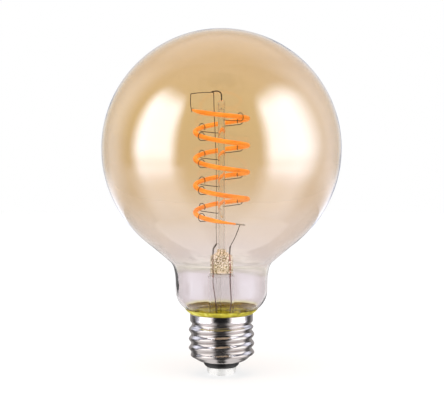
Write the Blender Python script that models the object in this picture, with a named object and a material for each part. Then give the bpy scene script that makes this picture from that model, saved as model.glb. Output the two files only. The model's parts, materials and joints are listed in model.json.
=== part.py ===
"""Decorative filament globe lamp with a screw cap and a driver in the cap.

Lengths below are in millimetres. The origin is the middle of the centre
contact's flat face, and +Z runs up through the cap to the top of the globe.
"""

import math

import bmesh
import bpy
from mathutils import Matrix, Vector

MM = 0.001
SHARP_ANGLE = math.radians(35)

# Globe and neck
GLOBE_RADIUS = 47.5
GLOBE_CENTRE_Z = 90.3
GLASS_WALL = 0.9
GLOBE_END_ANGLE = 144
SHOULDER_FOOT = (20.0, 45.1)
NECK_TOP = (18.7, 42.4)
NECK_RADIUS = 18.2
NECK_LOW_Z = 34.0
NECK_ROUND_RADIUS = 9.0
SEAL_POINTS = [(13.3, 25.7), (12.4, 25.15), (11.6, 24.8), (11.15, 24.1), (11.0, 22.0), (10.95, 17.6)]

# Screw shell, to the usual 27 mm Edison thread
THREAD_PITCH = 3.629
THREAD_DEPTH = 0.98
THREAD_CREST_Z = 9.0
THREAD_FADE_LOW = (5.6, 8.4)
THREAD_FADE_HIGH = (18.9, 20.5)
SHELL_WALL = 0.35
SHELL_FOOT = [(7.5, 5.45), (8.3, 5.4), (9.2, 5.75), (10.2, 6.4), (11.1, 7.2), (11.75, 8.05), (12.05, 8.8)]
SHELL_HEAD = [(12.05, 19.4), (11.8, 20.2), (11.65, 20.7), (12.3, 21.3), (12.5, 21.8), (12.5, 24.6)]
SHELL_ROW_HEIGHT = 0.72

# Basing cement: fills the rim and is squeezed up round the glass above it
CEMENT_OUTLINE = [
    (11.3, 21.8),
    (11.95, 22.0),
    (12.0, 24.5),
    (12.2, 24.72),
    (12.75, 24.85),
    (13.6, 25.5),
    (14.5, 26.5),
    (14.25, 26.5),
    (13.3, 25.57),
    (12.45, 25.02),
    (11.75, 24.7),
    (11.3, 24.05),
]

# Stem
STEM_RADIUS = 5.2
STEM_WALL = 0.9
PRESS_LOW_Z = 39.3
PRESS_SECTIONS = [
    (39.3, 5.2, 5.2),
    (40.6, 5.0, 4.1),
    (42.0, 4.8, 2.7),
    (44.0, 4.8, 2.2),
    (47.2, 4.8, 2.2),
    (48.4, 4.5, 2.1),
    (49.1, 3.5, 1.9),
    (49.6, 2.1, 1.7),
    (50.0, 1.6, 1.6),
]
LEAD_X = 3.4
LEAD_RADIUS = 0.28
LEAD_BORE_RADIUS = 0.4
ROD_RADIUS = 1.45
ROD_LOW_Z = 50.15
ROD_HIGH_Z = 109.5
EXHAUST_X = -1.3
EXHAUST_RADIUS = 1.3

# Filament: a falling helix, counter-clockwise seen from above
FILAMENT_RADIUS = 10.4
FILAMENT_EXTRA_RADIUS = 1.0
FILAMENT_THICK_RADIUS = 0.95
FILAMENT_CHANNEL_RADIUS = 0.65
FILAMENT_PITCH = 10.65
FILAMENT_TOP_Z = 107.45
FILAMENT_FIRST_DROP = 1.75
FILAMENT_START = 180
FILAMENT_SPAN = (186, 1741)
FILAMENT_STEPS_PER_TURN = 24
STRIP_HALF_WIDTH = 0.35
STRIP_HALF_THICKNESS = 0.15
TERMINAL_UPPER = (164, 185)
TERMINAL_LOWER = (1742.5, 1770)

# Hooks: how far round the helix each one holds the filament, in degrees
HOOK_ANGLES = [315, 405, 498, 581, 765, 858, 941, 1125, 1218, 1301, 1485, 1578, 1661]
HOOK_WIRE_RADIUS = 0.17
HOOK_RING_RADIUS = 1.6
HOOK_RING_SWEEP = 305

# Thin wires in the globe
WIRE_RADIUS = 0.2
ANCHOR_RADIUS = 0.3
STUB_RADIUS = 0.3

# Board in the cap
BOARD_RADIUS = 9.2
BOARD_LOW_Z = 10.6
BOARD_HIGH_Z = 11.4
SEAT_GAP = 0.05


def clear_scene():
    for thing in list(bpy.data.objects):
        bpy.data.objects.remove(thing, do_unlink=True)


def make_material(name, colour, roughness, metallic):
    material = bpy.data.materials.new(name)
    material.use_nodes = True
    shader = material.node_tree.nodes["Principled BSDF"]
    shader.inputs["Base Color"].default_value = (*colour, 1.0)
    shader.inputs["Roughness"].default_value = roughness
    shader.inputs["Metallic"].default_value = metallic
    return material


def finish_object(name, mesh_data, look):
    """Turns a bmesh in millimetres into a named object in metres."""
    bmesh.ops.recalc_face_normals(mesh_data, faces=mesh_data.faces)
    bmesh.ops.transform(mesh_data, matrix=Matrix.Scale(MM, 4), verts=mesh_data.verts)
    mesh = bpy.data.meshes.new(name)
    mesh_data.to_mesh(mesh)
    mesh_data.free()
    mesh.shade_smooth()
    mesh.set_sharp_from_angle(angle=SHARP_ANGLE)
    thing = bpy.data.objects.new(name, mesh)
    thing.data.materials.append(make_material(name + "_finish", *look))
    bpy.context.collection.objects.link(thing)
    return thing


def bridge(mesh_data, low, high):
    """Joins two rings of the same length, where a pole is a ring of one."""
    count = max(len(low), len(high))
    for i in range(count):
        j = (i + 1) % count
        corners = [low[i % len(low)], low[j % len(low)], high[j % len(high)], high[i % len(high)]]
        face = []
        for corner in corners:
            if corner not in face:
                face.append(corner)
        mesh_data.faces.new(face)


def turned_ring(mesh_data, radius, z, segments, centre):
    if radius < 1e-6:
        return [mesh_data.verts.new((centre[0], centre[1], z))]
    ring = []
    for i in range(segments):
        angle = math.tau * i / segments
        ring.append(
            mesh_data.verts.new((centre[0] + radius * math.cos(angle), centre[1] + radius * math.sin(angle), z))
        )
    return ring


def turned(name, outline, segments, look, closed=False, centre=(0.0, 0.0)):
    """Turns an outline of (radius, z) points about a vertical line."""
    mesh_data = bmesh.new()
    rings = [turned_ring(mesh_data, radius, z, segments, centre) for radius, z in outline]
    pairs = list(zip(rings, rings[1:]))
    if closed:
        pairs.append((rings[-1], rings[0]))
    for low, high in pairs:
        bridge(mesh_data, low, high)
    return finish_object(name, mesh_data, look)


def box(name, low, high, look):
    mesh_data = bmesh.new()
    bmesh.ops.create_cube(mesh_data, size=1.0)
    for vert in mesh_data.verts:
        for axis in range(3):
            vert.co[axis] = low[axis] + (vert.co[axis] + 0.5) * (high[axis] - low[axis])
    return finish_object(name, mesh_data, look)


def path_frames(points):
    """Carries one pair of cross axes along a path without twisting it."""
    tangents = []
    for i in range(len(points)):
        before = points[max(i - 1, 0)]
        after = points[min(i + 1, len(points) - 1)]
        tangents.append((after - before).normalized())
    side = tangents[0].orthogonal().normalized()
    frames = []
    for tangent in tangents:
        side = (side - tangent * side.dot(tangent)).normalized()
        frames.append((side, tangent.cross(side)))
    return frames


def wire(name, points, radius, look, sides=6):
    """Sweeps a round section along a path. The radius is one number or one per point."""
    points = [Vector(point) for point in points]
    radii = radius if isinstance(radius, list) else [radius] * len(points)
    mesh_data = bmesh.new()
    rings = []
    for point, (side, up), size in zip(points, path_frames(points), radii):
        ring = []
        for i in range(sides):
            angle = math.tau * i / sides
            ring.append(mesh_data.verts.new(point + side * size * math.cos(angle) + up * size * math.sin(angle)))
        rings.append(ring)
    for low, high in zip(rings, rings[1:]):
        bridge(mesh_data, low, high)
    mesh_data.faces.new(rings[0])
    mesh_data.faces.new(rings[-1])
    return finish_object(name, mesh_data, look)


def rounded(points, steps=3, share=0.35):
    """Rounds each inner corner of a path with a short curve."""
    points = [Vector(point) for point in points]
    path = [points[0]]
    for before, corner, after in zip(points, points[1:], points[2:]):
        entry = corner.lerp(before, share)
        leave = corner.lerp(after, share)
        for i in range(steps + 1):
            t = i / steps
            path.append(entry.lerp(corner, t).lerp(corner.lerp(leave, t), t))
    path.append(points[-1])
    return path


def arc(centre, radius, start, end, steps):
    """Points of a circle in the (radius, z) plane, angles in degrees from outward."""
    points = []
    for i in range(steps + 1):
        angle = math.radians(start + (end - start) * i / steps)
        points.append((centre[0] + radius * math.cos(angle), centre[1] + radius * math.sin(angle)))
    return points


def inset(outline, distance):
    """Moves an outline sideways by one wall, to its left when read from start to end."""
    moved = []
    for i, (radius, z) in enumerate(outline):
        before = outline[max(i - 1, 0)]
        after = outline[min(i + 1, len(outline) - 1)]
        run = Vector((after[0] - before[0], after[1] - before[1])).normalized()
        new_radius = 0.0 if radius < 1e-6 else radius + distance * run.y
        moved.append((new_radius, z - distance * run.x))
    return moved


def smooth_step(low, high, value):
    t = min(max((value - low) / (high - low), 0.0), 1.0)
    return t * t * (3 - 2 * t)


def globe_outline():
    """The outside of the glass, from the top of the globe to the end inside the cap."""
    sphere = arc((0.0, GLOBE_CENTRE_Z), GLOBE_RADIUS, 90, 90 - GLOBE_END_ANGLE, 16)
    sphere[0] = (0.0, GLOBE_CENTRE_Z + GLOBE_RADIUS)
    round_centre = (NECK_RADIUS - NECK_ROUND_RADIUS, NECK_LOW_Z)
    neck = [SHOULDER_FOOT, (19.2, 43.8), NECK_TOP, (NECK_RADIUS, 38.6)]
    return sphere + neck + arc(round_centre, NECK_ROUND_RADIUS, 0, -46, 3) + SEAL_POINTS


def build_envelope():
    outside = globe_outline()
    inside = inset(outside, GLASS_WALL)
    turned("glass_envelope", outside + inside[::-1], 28, ((0.86, 0.66, 0.40), 0.05, 0.0))


def thread_height(angle, z):
    phase = (z - THREAD_CREST_Z) / THREAD_PITCH - angle / math.tau
    wave = 0.5 + 0.5 * math.cos(math.tau * phase)
    fade = smooth_step(*THREAD_FADE_LOW, z) * (1 - smooth_step(*THREAD_FADE_HIGH, z))
    return THREAD_DEPTH * wave * fade


def build_shell(segments=28):
    rows = round((SHELL_HEAD[0][1] - SHELL_FOOT[-1][1]) / SHELL_ROW_HEIGHT)
    middle = []
    for i in range(1, rows):
        z = SHELL_FOOT[-1][1] + (SHELL_HEAD[0][1] - SHELL_FOOT[-1][1]) * i / rows
        middle.append((SHELL_FOOT[-1][0], z))
    outside = SHELL_FOOT + middle + SHELL_HEAD
    inside = inset(outside, -SHELL_WALL)
    mesh_data = bmesh.new()
    rings = []
    for radius, z in outside + inside[::-1]:
        ring = []
        for i in range(segments):
            angle = math.tau * i / segments
            reach = radius + thread_height(angle, z)
            ring.append(mesh_data.verts.new((reach * math.cos(angle), reach * math.sin(angle), z)))
        rings.append(ring)
    for low, high in zip(rings, rings[1:] + rings[:1]):
        bridge(mesh_data, low, high)
    finish_object("screw_shell", mesh_data, ((0.72, 0.71, 0.68), 0.2, 1.0))


def build_cap():
    build_shell()
    insulator = [
        (1.75, 0.85),
        (4.4, 0.9),
        (4.85, 1.6),
        (5.0, 3.4),
        (6.1, 3.4),
        (6.65, 3.85),
        (7.05, 4.5),
        (7.2, 5.2),
        (7.2, 6.15),
        (8.2, 6.15),
        (8.2, 7.1),
        (3.4, 7.1),
        (3.4, 7.8),
        (1.75, 7.8),
    ]
    turned("base_insulator", insulator, 20, ((0.02, 0.02, 0.022), 0.3, 0.0), closed=True)
    contact = [
        (0.0, 0.0),
        (4.1, 0.0),
        (4.95, 0.3),
        (5.55, 1.0),
        (5.8, 1.9),
        (5.9, 3.1),
        (5.45, 3.1),
        (5.3, 1.9),
        (4.95, 1.1),
        (4.5, 0.55),
        (1.5, 0.5),
        (1.5, 8.2),
        (0.0, 8.2),
    ]
    turned("centre_contact", contact, 20, ((0.80, 0.78, 0.72), 0.3, 1.0))
    turned("basing_cement", CEMENT_OUTLINE, 28, ((0.55, 0.47, 0.16), 0.8, 0.0), closed=True)


def build_stem():
    outside = [(STEM_RADIUS, 39.15), (STEM_RADIUS, 32.0), (STEM_RADIUS, 25.5)]
    outside += [(5.6, 22.6), (6.8, 20.3), (8.4, 18.9), (9.8, 18.3)]
    inside = inset(outside, STEM_WALL)
    glass = ((0.86, 0.88, 0.86), 0.05, 0.0)
    turned("stem_flare", outside + inside[::-1], 20, glass, closed=True)
    build_press(((0.78, 0.74, 0.62), 0.2, 0.0))
    rod = [(0.0, ROD_LOW_Z), (ROD_RADIUS, ROD_LOW_Z), (ROD_RADIUS, ROD_HIGH_Z - 1.0)]
    rod += [(1.1, ROD_HIGH_Z - 0.3), (0.0, ROD_HIGH_Z)]
    turned("support_rod", rod, 12, glass)
    build_exhaust(glass)


def build_exhaust(look):
    """A tube open at the press and drawn to a closed tip in the cap."""
    outline = [
        (0.0, 18.9),
        (0.55, 19.4),
        (0.75, 20.6),
        (0.75, 39.1),
        (EXHAUST_RADIUS, 39.1),
        (EXHAUST_RADIUS, 19.9),
        (0.8, 18.4),
        (0.0, 17.6),
    ]
    turned("exhaust_tube", outline, 12, look, centre=(EXHAUST_X, 0.0))


def build_press(look, segments=20):
    mesh_data = bmesh.new()
    rings = []
    for z, half_width, half_depth in PRESS_SECTIONS:
        ring = []
        for i in range(segments):
            angle = math.tau * i / segments
            ring.append(mesh_data.verts.new((half_width * math.cos(angle), half_depth * math.sin(angle), z)))
        rings.append(ring)
    for low, high in zip(rings, rings[1:]):
        bridge(mesh_data, low, high)
    mesh_data.faces.new(rings[0])
    mesh_data.faces.new(rings[-1])
    press = finish_object("stem_press", mesh_data, look)
    for side in (-1, 1):
        drill(press, side * LEAD_X, LEAD_BORE_RADIUS, PRESS_LOW_Z - 1.0, 51.0)


def drill(thing, x, radius, low, high):
    """Cuts an upright hole and applies the cut, so that no cutter stays behind."""
    outline = [(0.0, low), (radius, low), (radius, high), (0.0, high)]
    cutter = turned("cutter", outline, 10, ((0.5, 0.5, 0.5), 0.5, 0.0), centre=(x, 0.0))
    cutter.hide_render = True
    cutter.display_type = "WIRE"
    cut = thing.modifiers.new("bore", "BOOLEAN")
    cut.operation = "DIFFERENCE"
    cut.solver = "EXACT"
    cut.object = cutter
    graph = bpy.context.evaluated_depsgraph_get()
    mesh = bpy.data.meshes.new_from_object(thing.evaluated_get(graph))
    thing.modifiers.clear()
    thing.data = mesh
    bpy.data.objects.remove(cutter, do_unlink=True)


def helix_point(degrees):
    """Centre line of the filament. The first half turn is wider and flatter."""
    left = max(1.0 - (degrees - FILAMENT_START) / 180.0, 0.0)
    left = min(left, 1.2)
    reach = FILAMENT_RADIUS + FILAMENT_EXTRA_RADIUS * left * left
    turns = (degrees - FILAMENT_START) / 360.0
    z = FILAMENT_TOP_Z - FILAMENT_PITCH * turns - FILAMENT_FIRST_DROP * left * left
    angle = math.radians(degrees)
    return Vector((reach * math.cos(angle), reach * math.sin(angle), z))


def helix_frame(degrees):
    ahead = helix_point(degrees + 0.5) - helix_point(degrees - 0.5)
    outward = Vector((math.cos(math.radians(degrees)), math.sin(math.radians(degrees)), 0.0))
    return outward, ahead.normalized().cross(outward).normalized()


def helix_angles(start, end):
    count = max(round((end - start) * FILAMENT_STEPS_PER_TURN / 360.0), 2)
    return [start + (end - start) * i / count for i in range(count + 1)]


def helix_ring(mesh_data, degrees, section):
    """One cross section of the helix, given as (outward, upward) pairs."""
    centre = helix_point(degrees)
    outward, upward = helix_frame(degrees)
    return [mesh_data.verts.new(centre + outward * a + upward * b) for a, b in section]


def circle_section(radius, sides):
    return [
        (radius * math.cos(math.tau * i / sides), radius * math.sin(math.tau * i / sides)) for i in range(sides)
    ]


def strip_section(half_width, half_height):
    return [
        (half_width, -half_height),
        (half_width, half_height),
        (-half_width, half_height),
        (-half_width, -half_height),
    ]


def helix_solid(name, start, end, section, look):
    mesh_data = bmesh.new()
    rings = [helix_ring(mesh_data, degrees, section) for degrees in helix_angles(start, end)]
    for low, high in zip(rings, rings[1:]):
        bridge(mesh_data, low, high)
    mesh_data.faces.new(rings[0])
    mesh_data.faces.new(rings[-1])
    return finish_object(name, mesh_data, look)


def helix_sleeve(name, start, end, look):
    """The phosphor coat: a round sleeve with an open channel for the carrier strip."""
    mesh_data = bmesh.new()
    sides = 6
    outer_section = circle_section(FILAMENT_THICK_RADIUS, sides)
    inner_section = circle_section(FILAMENT_CHANNEL_RADIUS, sides)
    outer = [helix_ring(mesh_data, degrees, outer_section) for degrees in helix_angles(start, end)]
    inner = [helix_ring(mesh_data, degrees, inner_section) for degrees in helix_angles(start, end)]
    for rings in (outer, inner):
        for low, high in zip(rings, rings[1:]):
            bridge(mesh_data, low, high)
    bridge(mesh_data, outer[0], inner[0])
    bridge(mesh_data, outer[-1], inner[-1])
    return finish_object(name, mesh_data, look)


def build_filament():
    helix_sleeve("filament_phosphor", *FILAMENT_SPAN, ((0.95, 0.45, 0.10), 0.45, 0.0))
    strip = strip_section(STRIP_HALF_WIDTH, STRIP_HALF_THICKNESS)
    helix_solid("filament_strip", *FILAMENT_SPAN, strip, ((0.85, 0.83, 0.75), 0.5, 0.0))
    terminal = strip_section(0.14, 0.42)
    metal = ((0.50, 0.48, 0.45), 0.35, 1.0)
    helix_solid("terminal_upper", *TERMINAL_UPPER, terminal, metal)
    helix_solid("terminal_lower", *TERMINAL_LOWER, terminal, metal)


def build_hook(number, degrees):
    """A wire out of the rod that ends in a ring round the filament."""
    name = f"support_hook_{number:02d}"
    centre = helix_point(degrees)
    outward = helix_frame(degrees)[0]
    low = centre - Vector((0.0, 0.0, HOOK_RING_RADIUS))
    start = outward * (ROD_RADIUS + 0.1)
    start.z = low.z
    path = [start, start.lerp(low, 0.5)]
    steps = 9
    for i in range(steps + 1):
        angle = math.radians(-90 + HOOK_RING_SWEEP * i / steps)
        swing = outward * math.cos(angle) + Vector((0.0, 0.0, math.sin(angle)))
        path.append(centre + swing * HOOK_RING_RADIUS)
    wire(name, path, HOOK_WIRE_RADIUS, ((0.30, 0.28, 0.26), 0.4, 1.0), sides=4)


def build_globe_wires():
    nickel = ((0.32, 0.29, 0.27), 0.35, 1.0)
    anchor = rounded([(0.0, 0.0, 109.65), (0.0, 0.0, 112.3), (-1.4, 0.0, 113.0), (-3.7, 0.0, 112.75)])
    wire("anchor_wire", anchor, ANCHOR_RADIUS, nickel)
    link = [(-4.0, 0.0, 112.75), (-12.1, 0.0, 111.9), (-12.2, 0.2, 107.8), (-11.8, 0.6, 105.8), (-11.79, 0.6, 104.8)]
    wire("upper_link_wire", rounded(link, share=0.2), WIRE_RADIUS, nickel)
    riser = [(-2.05, -0.75, 52.45), (-2.1, -0.7, 86.5), (-2.4, -0.6, 93.6), (-3.1, 0.0, 111.6), (-3.1, 0.0, 112.0)]
    wire("riser_wire", riser, WIRE_RADIUS, nickel)
    foot = helix_point(1753.5)
    lower = [(foot.x, foot.y, foot.z - 0.7), (7.0, -7.2, 60.0), (5.2, -4.0, 55.0), (3.6, -0.7, 51.6), (3.55, -0.4, 51.2)]
    wire("lower_link_wire", lower, WIRE_RADIUS, nickel)
    wire("inner_lead_left", [(-3.45, 0.0, 49.4), (-3.3, -0.1, 50.2), (-2.0, -0.65, 52.0)], STUB_RADIUS, nickel)
    wire("inner_lead_right", [(3.3, 0.0, 49.4), (3.35, -0.05, 50.1), (3.55, -0.25, 50.85)], STUB_RADIUS, nickel)


def build_stem_wires():
    copper = ((0.62, 0.16, 0.10), 0.35, 1.0)
    dull = ((0.30, 0.18, 0.17), 0.45, 1.0)
    for side, word in ((-1, "left"), (1, "right")):
        wire(f"press_wire_{word}", [(side * LEAD_X, 0.0, 39.35), (side * LEAD_X, 0.0, 48.8)], LEAD_RADIUS, copper)
    left = [(-3.4, 0.0, 39.15), (-3.3, -0.4, 36.0), (-2.2, -2.5, 29.5), (-1.6, -2.5, 20.0), (-1.2, -2.2, 11.45)]
    wire("lead_out_left", left, LEAD_RADIUS, dull)
    right = [(3.4, 0.0, 39.15), (3.5, 0.0, 36.0), (3.6, 0.0, 29.5), (2.2, -0.5, 20.0), (1.0, -1.4, 11.45)]
    wire("lead_out_right", right, LEAD_RADIUS, dull)


def build_board():
    board = [(0.0, BOARD_LOW_Z), (BOARD_RADIUS, BOARD_LOW_Z), (BOARD_RADIUS, BOARD_HIGH_Z), (0.0, BOARD_HIGH_Z)]
    turned("driver_board", board, 24, ((0.05, 0.25, 0.12), 0.45, 0.0))
    seat = BOARD_HIGH_Z + SEAT_GAP
    under = BOARD_LOW_Z - SEAT_GAP
    can = [(0.0, seat), (3.0, seat), (3.15, seat + 0.4), (3.15, seat + 4.8), (2.9, seat + 5.0), (0.0, seat + 5.0)]
    turned("bulk_capacitor", can, 14, ((0.06, 0.07, 0.12), 0.35, 0.0), centre=(4.6, 3.4))
    coil = [(0.0, seat), (2.5, seat), (2.5, seat + 0.6), (2.1, seat + 0.8), (2.1, seat + 3.6)]
    coil += [(2.5, seat + 3.8), (2.5, seat + 4.4), (0.0, seat + 4.4)]
    turned("inductor", coil, 14, ((0.12, 0.11, 0.11), 0.5, 0.0), centre=(-5.2, 3.2))
    black = ((0.03, 0.03, 0.03), 0.4, 0.0)
    box("bridge_rectifier", (-6.8, 0.6, under - 1.4), (-2.2, 4.4, under), black)
    box("driver_chip", (-5.9, -5.9, under - 1.3), (-1.0, -2.0, under), black)
    box("wireless_board", (-6.0, -6.0, seat), (2.0, -5.2, seat + 5.4), ((0.04, 0.10, 0.25), 0.45, 0.0))
    box("wireless_shield", (-5.3, -5.15, seat + 0.5), (-0.3, -3.9, seat + 4.1), ((0.62, 0.62, 0.62), 0.3, 1.0))
    build_resistor(seat)


def build_resistor(seat):
    """A lying resistor body with its two legs bent down to the board."""
    y = -4.4
    z = seat + 1.4
    legs = [(3.0, y, seat), (3.0, y, z - 0.4), (3.2, y, z), (3.6, y, z), (3.65, y, z), (3.9, y, z)]
    back = [(6.9 - (x - 3.0) + 0.3, y, height) for x, y, height in legs[::-1]]
    radii = [0.25, 0.25, 0.25, 0.25, 0.9, 1.1]
    wire("fusible_resistor", legs + back, radii + radii[::-1], ((0.35, 0.45, 0.30), 0.5, 0.0), sides=8)


def build_cap_wires():
    red = ((0.55, 0.05, 0.04), 0.5, 0.0)
    blue = ((0.05, 0.10, 0.45), 0.5, 0.0)
    live = rounded([(0.0, 0.0, 8.35), (0.3, -0.1, 9.2), (2.3, -0.8, 9.9), (2.6, -0.9, 10.5)])
    wire("live_wire", live, 0.35, red)
    neutral = rounded([(0.0, 8.2, 10.5), (0.0, 8.3, 9.4), (0.0, 9.4, 8.7), (0.0, 10.6, 8.6)])
    wire("neutral_wire", neutral, 0.35, blue)
    weld = [(0.0, 8.1), (0.32, 8.2), (0.46, 8.6), (0.32, 9.0), (0.0, 9.1)]
    turned("shell_weld", weld, 8, ((0.65, 0.65, 0.66), 0.3, 1.0), centre=(0.0, 11.15))


def main():
    clear_scene()
    build_envelope()
    build_cap()
    build_stem()
    build_filament()
    for number, degrees in enumerate(HOOK_ANGLES, start=1):
        build_hook(number, degrees)
    build_globe_wires()
    build_stem_wires()
    build_board()
    build_cap_wires()


main()
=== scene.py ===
"""Amber filament globe lamp with a screw cap: visual model, studio and camera.

Shapes are written in millimetres with the origin at the middle of the centre
contact's flat face and +Z towards the top of the globe, as in the CAD model.
"""

import json
import math

import bmesh
import bpy
from mathutils import Matrix, Vector

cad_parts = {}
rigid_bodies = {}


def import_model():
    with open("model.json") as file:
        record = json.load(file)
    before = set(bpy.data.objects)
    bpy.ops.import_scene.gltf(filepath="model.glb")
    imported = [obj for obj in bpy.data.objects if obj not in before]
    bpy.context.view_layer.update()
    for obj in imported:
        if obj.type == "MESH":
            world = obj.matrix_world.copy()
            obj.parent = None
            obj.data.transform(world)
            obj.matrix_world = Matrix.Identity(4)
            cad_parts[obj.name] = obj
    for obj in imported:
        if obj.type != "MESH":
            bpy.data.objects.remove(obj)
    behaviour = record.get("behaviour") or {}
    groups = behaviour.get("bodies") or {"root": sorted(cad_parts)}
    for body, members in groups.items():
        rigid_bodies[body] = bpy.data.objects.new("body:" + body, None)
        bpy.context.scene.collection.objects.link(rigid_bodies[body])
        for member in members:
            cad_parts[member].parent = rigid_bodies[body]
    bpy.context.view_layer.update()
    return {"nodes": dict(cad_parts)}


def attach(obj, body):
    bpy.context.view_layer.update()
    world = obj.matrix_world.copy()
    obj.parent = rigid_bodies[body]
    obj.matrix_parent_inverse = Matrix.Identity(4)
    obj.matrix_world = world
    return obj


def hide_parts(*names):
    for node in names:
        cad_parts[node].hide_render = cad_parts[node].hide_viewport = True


MM = 0.001

# Globe and neck, with (radius, z) points
GLOBE_RADIUS = 47.5
GLOBE_CENTRE_Z = 90.3
GLASS_WALL = 0.9
GLASS_IOR = 1.5
GLOBE_END_ANGLE = -54.0
SHOULDER = [
    (24.0, 48.55), (21.6, 46.45), (20.0, 45.0), (19.15, 43.5), (18.7, 41.8), (18.3, 39.0),
    (18.2, 36.0),
]
NECK_RADIUS = 18.2
NECK_LOW_Z = 34.0
NECK_ROUND_RADIUS = 9.0
NECK_ROUND_END = -46.0
SEAL = [
    (14.4, 26.6), (13.3, 25.7), (12.4, 25.15), (11.6, 24.8), (11.15, 24.1), (11.0, 22.0),
    (10.95, 17.6),
]

# Screw cap, with (radius, z) outlines
THREAD_PITCH = 3.629
THREAD_DEPTH = 0.98
THREAD_CREST_Z = 9.0
THREAD_FADE_LOW = (5.6, 8.4)
THREAD_FADE_HIGH = (18.9, 20.5)
SHELL_WALL = 0.35
SHELL_FOOT = [
    (7.5, 5.45), (8.3, 5.4), (9.2, 5.75), (10.2, 6.4), (11.1, 7.2), (11.75, 8.05), (12.05, 8.8),
]
SHELL_HEAD = [(12.05, 19.4), (11.8, 20.2), (11.65, 20.7), (12.3, 21.3), (12.5, 21.8)]
SHELL_RIM = [(12.5, 23.0), (12.5, 24.2), (12.5, 24.6)]
INSULATOR_OUTLINE = [
    (1.75, 0.85), (4.4, 0.9), (4.85, 1.6), (5.0, 3.4), (6.1, 3.4), (6.65, 3.85), (7.05, 4.5),
    (7.2, 5.2), (7.2, 6.15), (8.2, 6.15), (8.2, 7.1), (3.4, 7.1), (3.4, 7.8), (1.75, 7.8),
]
CONTACT_OUTLINE = [
    (0.0, 0.0), (4.1, 0.0), (4.95, 0.3), (5.55, 1.0), (5.8, 1.9), (5.9, 3.1), (5.45, 3.1),
    (5.3, 1.9), (4.95, 1.1), (4.5, 0.55), (1.5, 0.5), (1.5, 8.2), (0.0, 8.2),
]
CEMENT_OUTLINE = [
    (11.3, 21.8), (11.95, 22.0), (12.0, 24.5), (12.2, 24.72), (12.75, 24.85), (13.6, 25.5),
    (14.5, 26.5), (14.25, 26.5), (13.3, 25.57), (12.45, 25.02), (11.75, 24.7), (11.3, 24.05),
]

# Stem. A press section is (z, half width, half depth)
STEM_RADIUS = 5.2
STEM_WALL = 0.9
STEM_OUTLINE = [
    (4.2, 41.2), (4.75, 40.7), (5.3, 39.7), (STEM_RADIUS, 38.0), (STEM_RADIUS, 32.0),
    (STEM_RADIUS, 25.5), (5.6, 22.6), (6.8, 20.3), (8.4, 18.9), (9.8, 18.3),
]
PRESS_SECTIONS = [
    (40.9, 3.9, 2.6), (41.2, 4.5, 3.0), (43.0, 4.5, 2.4), (47.2, 4.5, 2.1), (48.2, 4.2, 2.1),
    (49.1, 3.2, 1.9), (49.7, 2.0, 1.7), (50.1, 1.6, 1.6),
]
EXHAUST_X = -1.3
EXHAUST_RADIUS = 1.3
EXHAUST_OUTLINE = [
    (0.0, 18.9), (0.55, 19.4), (0.75, 20.6), (0.75, 39.1), (EXHAUST_RADIUS, 39.1),
    (EXHAUST_RADIUS, 19.9), (0.8, 18.4), (0.0, 17.6),
]
ROD_RADIUS = 1.45
ROD_LOW_Z = 49.9
ROD_HIGH_Z = 109.5
ROD_RING_Z = (ROD_LOW_Z, ROD_LOW_Z + 0.2, 80.0)
ROD_WALL = 0.5
ROD_SOLID_TOP = 3.0
ROD_BORE_TAPER = 1.0
DROP_Z = 64.5
DROP_GAP = 0.05
DROP_STRETCH = 1.9
DROP_SLANT = -1.0

# Filament: a falling helix, counter-clockwise seen from above. Angles are in degrees
FILAMENT_RADIUS = 10.4
FILAMENT_EXTRA_RADIUS = 1.0
FILAMENT_THICK_RADIUS = 0.9
FILAMENT_PITCH = 10.65
FILAMENT_TOP_Z = 107.45
FILAMENT_FIRST_DROP = 1.75
FILAMENT_START = 180
FILAMENT_SPAN = (186, 1741)
FILAMENT_STEP = 5.0
TAPER_STEPS = (9.0, 12.0)
TAPER_SHARES = (0.5, 0.4)
TERMINAL_UPPER = (164, 182)
TERMINAL_LOWER = (1738, 1770)
CARRIER_HALF_SIZE = (0.35, 0.15)
UPPER_END_HALF_SIZE = (0.14, 0.42)
LOWER_END_HALF_SIZE = (0.30, 0.26)
STRIP_SQUARENESS = 0.4
HOOK_ANGLES = [315, 405, 498, 581, 765, 858, 941, 1125, 1218, 1301, 1485, 1578, 1661]
HOOK_WIRE_RADIUS = 0.15
HOOK_RING_RADIUS = 1.6
HOOK_RING_SWEEP = 305
HOOK_RING_STEPS = 30

# Wires
WIRE_RADIUS = 0.16
RISER_LOW_RADIUS = 0.1
RISER_WIDENS = (86.0, 95.0)
ANCHOR_RADIUS = 0.26
STUB_RADIUS = 0.33
LEAD_X = 3.4
LEAD_RADIUS = 0.28
SEAL_WIRE_LOW_Z = 39.1
SEAL_WIRE_LENGTH = 9.6
ANCHOR_PATH = [
    (0.0, 0.0, 109.2), (0.0, 0.0, 111.2), (-0.4, 0.0, 112.4), (-1.7, 0.0, 113.0),
    (-3.7, 0.0, 112.75),
]
UPPER_LINK_PATH = [
    (-3.3, 0.0, 112.5), (-7.5, 0.0, 112.4), (-11.6, 0.0, 111.95), (-12.15, 0.05, 111.3),
    (-12.2, 0.2, 107.8), (-11.9, 0.55, 105.9), (-11.7, 0.6, 104.9),
]
RISER_PATH = [
    (-2.0, -0.65, 52.0), (-2.1, -0.7, 60.0), (-2.05, -0.75, 72.0), (-2.1, -0.7, 86.5),
    (-2.4, -0.6, 93.6), (-2.85, -0.2, 104.0), (-3.1, 0.0, 112.4),
]
LOWER_LINK_ANGLE = 1753.5
LOWER_LINK_PATH = [(7.0, -7.2, 60.0), (5.2, -4.0, 55.0), (3.65, -0.7, 51.6), (3.5, -0.2, 50.7)]
LEFT_STUB_PATH = [(-3.4, 0.0, 48.3), (-3.3, -0.1, 50.0), (-2.0, -0.65, 52.2)]
RIGHT_STUB_PATH = [(3.3, 0.0, 48.3), (3.35, -0.05, 50.1), (3.55, -0.25, 51.1)]
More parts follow.
